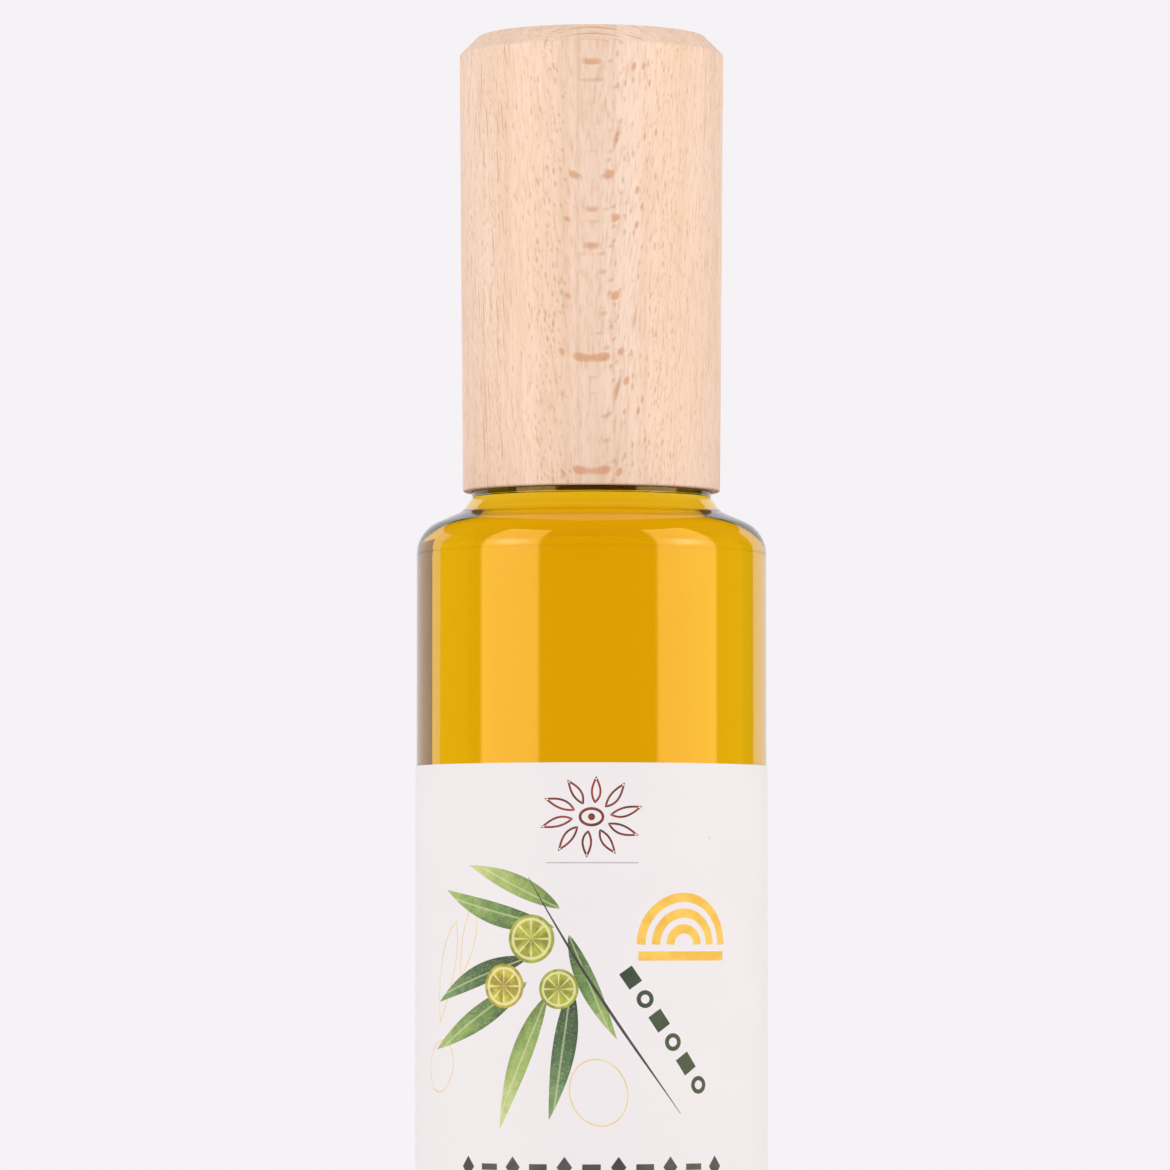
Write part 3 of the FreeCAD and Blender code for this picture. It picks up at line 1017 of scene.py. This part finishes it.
# Name, azimuth from and to, elevation from and to in degrees, distance, glow, and which rays
# see it. Azimuths run from behind the bottle and grow towards +X.
CARDS = (
    ("front_card", 47, 298, -30, 90, 1.9, "dark", "glossy"),
    ("ceiling_card", 0, 360, 28, 90, 1.85, "dark", "glossy"),
    ("side_card_left", 268, 298, -30, 28, 1.8, "warm", "glossy"),
    ("side_card_right", 62, 92, -30, 28, 1.8, "warm", "glossy"),
    ("soft_box_left", 212.6, 258.5, -14, 53, 1.2, "lit", "glossy"),
    ("soft_box_right", 88.5, 138.5, -14, 53, 1.2, "lit", "glossy"),
    ("back_card", 51, 85, -20, 35, 0.8, "dim", "transmission"),
)


def surroundings(scene, settings):
    """An even pale world round the bottle."""
    world = bpy.data.worlds.new("studio")
    world.use_nodes = True
    background = world.node_tree.nodes["Background"]
    background.inputs["Color"].default_value = (*settings.backdrop, 1.0)
    background.inputs["Strength"].default_value = 1.0
    scene.world = world
    scene.view_settings.view_transform = "Standard"


def floor(radius):
    """A round plain floor."""
    mesh = bmesh.new()
    bmesh.ops.create_circle(mesh, cap_ends=True, segments=96, radius=radius)
    data = bpy.data.meshes.new("floor")
    mesh.to_mesh(data)
    mesh.free()
    made = bpy.data.objects.new("floor", data)
    bpy.context.scene.collection.objects.link(made)
    shading = Shading("floor")
    place = shading.add("ShaderNodeTexCoord").outputs["Object"]
    tone = shading.mix(shading.noise(place, 6.0, 2.0), (0.93, 0.92, 0.93), (0.95, 0.94, 0.95))
    data.materials.append(shading.finish(Base_Color=tone, Roughness=0.9))


def direction(azimuth, elevation):
    """Unit vector from the bottle, azimuth from the front and positive to +X."""
    a, e = math.radians(azimuth), math.radians(elevation)
    return Vector((math.sin(a) * math.cos(e), -math.cos(a) * math.cos(e), math.sin(e)))


def key_light(name, azimuth, power):
    """A large soft lamp that lights the wood and the paper and doesn't show in the glass."""
    light = bpy.data.lights.new(name, "AREA")
    light.shape = "RECTANGLE"
    light.size = KEY_SIZE
    light.size_y = KEY_SIZE
    light.energy = power
    light.color = (1.0, 0.98, 0.96)
    made = bpy.data.objects.new(name, light)
    bpy.context.scene.collection.objects.link(made)
    way = direction(azimuth, KEY_ELEVATION)
    made.location = AIM + way * KEY_DISTANCE
    made.rotation_euler = (-way).to_track_quat("-Z", "Y").to_euler()
    made.visible_camera = False
    made.visible_glossy = False
    made.visible_transmission = False


def glow(name, colour):
    """A surface that only gives even light."""
    shading = Shading(name)
    shading.finish(Base_Color=(0.0, 0.0, 0.0), Emission_Color=colour, Emission_Strength=1.0)
    return shading.finish(Specular_IOR_Level=0.0)


def soft_box_glow():
    """A lit cloth with soft edges and a brighter spot where its lamp is."""
    shading = Shading("card_soft_box")
    flat = shading.add("ShaderNodeUVMap", uv_map="card").outputs[0]
    parts = shading.add("ShaderNodeSeparateXYZ", {"Vector": flat})
    off = shading.maths("ABSOLUTE", shading.maths("SUBTRACT", parts.outputs[0], 0.5))
    edge = shading.span(off, 0.42, 0.5, 1.0, 0.0)
    wide = shading.maths("POWER", shading.maths("DIVIDE", off, 0.26), 2.0)
    up = shading.maths("DIVIDE", shading.maths("SUBTRACT", parts.outputs[1], 0.47), 0.1)
    away = shading.maths("ADD", wide, shading.maths("POWER", up, 2.0))
    spot = shading.maths("EXPONENT", shading.maths("MULTIPLY", away, -1.0))
    cloth = shading.mix(spot, (0.51, 0.297, 0.091), (0.76, 0.69, 0.43))
    colour = shading.mix(edge, (0.01, 0.005, 0.0), cloth)
    shading.finish(Base_Color=(0.0, 0.0, 0.0), Emission_Color=colour, Emission_Strength=10.0)
    return shading.finish(Specular_IOR_Level=0.0)


def card(name, first, last, bottom, top, distance, material, kind):
    """Part of a sphere round the bottle that only mirrored or only refracted rays see."""
    across, up = CARD_STEPS_ACROSS, CARD_STEPS_UP
    mesh = bmesh.new()
    marks = mesh.loops.layers.uv.new("card")
    grid = []
    for row in range(up + 1):
        elevation = bottom + (top - bottom) * row / up
        line = []
        for column in range(across + 1):
            azimuth = 180 - (first + (last - first) * column / across)
            line.append(mesh.verts.new(AIM + direction(azimuth, elevation) * distance))
        grid.append(line)
    for row in range(up):
        for column in range(across):
            places = ((row, column), (row, column + 1), (row + 1, column + 1), (row + 1, column))
            face = mesh.faces.new([grid[r][c] for r, c in places])
            for corner, (r, c) in zip(face.loops, places):
                corner[marks].uv = (c / across, r / up)
    data = bpy.data.meshes.new(name)
    mesh.to_mesh(data)
    mesh.free()
    data.materials.append(material)
    made = bpy.data.objects.new(name, data)
    bpy.context.scene.collection.objects.link(made)
    made.visible_camera = False
    made.visible_diffuse = False
    made.visible_shadow = False
    made.visible_glossy = kind == "glossy"
    made.visible_transmission = kind == "transmission"


def camera(scene, settings):
    """A long lens a little below the middle of the bottle, tilted up."""
    data = bpy.data.cameras.new("camera")
    data.sensor_width = SENSOR
    data.lens = LENS
    data.clip_start = 0.05
    data.clip_end = 50.0
    made = bpy.data.objects.new("camera", data)
    scene.collection.objects.link(made)
    made.location = (0.0, -settings.camera_distance, settings.camera_height)
    made.rotation_euler = (math.pi / 2 + CAMERA_TILT, 0.0, CAMERA_PAN)
    scene.camera = made


# ---------------------------------------------------------------- panel


class OILBOTTLE_PT_panel(bpy.types.Panel):
    """Settings and buttons of the olive oil bottle"""

    bl_idname = "OILBOTTLE_PT_panel"
    bl_label = "Olive Oil Bottle"
    bl_space_type = "VIEW_3D"
    bl_region_type = "UI"
    bl_category = "Oil Bottle"

    def draw(self, context):
        for group, operators in GROUPS.items():
            box = self.layout.box()
            settings = getattr(context.scene, group)
            for name in settings.bl_rna.properties.keys():
                if name not in ("rna_type", "name"):
                    box.prop(settings, name)
            for operator in operators:
                box.operator(operator)


GROUPS = {
    "oil_bottle_glass": ("oilbottle.bottle",),
    "oil_bottle_oil": ("oilbottle.oil",),
    "oil_bottle_cap": ("oilbottle.cap",),
    "oil_bottle_label": ("oilbottle.label",),
    "oil_bottle_stage": ("oilbottle.stage",),
}
SETTINGS = {
    "oil_bottle_glass": OilBottleGlassSettings,
    "oil_bottle_oil": OilBottleOilSettings,
    "oil_bottle_cap": OilBottleCapSettings,
    "oil_bottle_label": OilBottleLabelSettings,
    "oil_bottle_stage": OilBottleStageSettings,
}
CLASSES = (
    *SETTINGS.values(),
    OILBOTTLE_OT_bottle,
    OILBOTTLE_OT_oil,
    OILBOTTLE_OT_cap,
    OILBOTTLE_OT_label,
    OILBOTTLE_OT_stage,
    OILBOTTLE_PT_panel,
)


def register():
    for made in CLASSES:
        bpy.utils.register_class(made)
    for name, group in SETTINGS.items():
        setattr(bpy.types.Scene, name, bpy.props.PointerProperty(type=group))


def unregister():
    for name in SETTINGS:
        delattr(bpy.types.Scene, name)
    for made in reversed(CLASSES):
        bpy.utils.unregister_class(made)


def main():
    """Builds every piece and the stage."""
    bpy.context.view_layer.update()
    register()
    bpy.ops.oilbottle.bottle()
    bpy.ops.oilbottle.oil()
    bpy.ops.oilbottle.cap()
    bpy.ops.oilbottle.label()
    bpy.ops.oilbottle.stage()


if __name__ == "__main__":
    main()
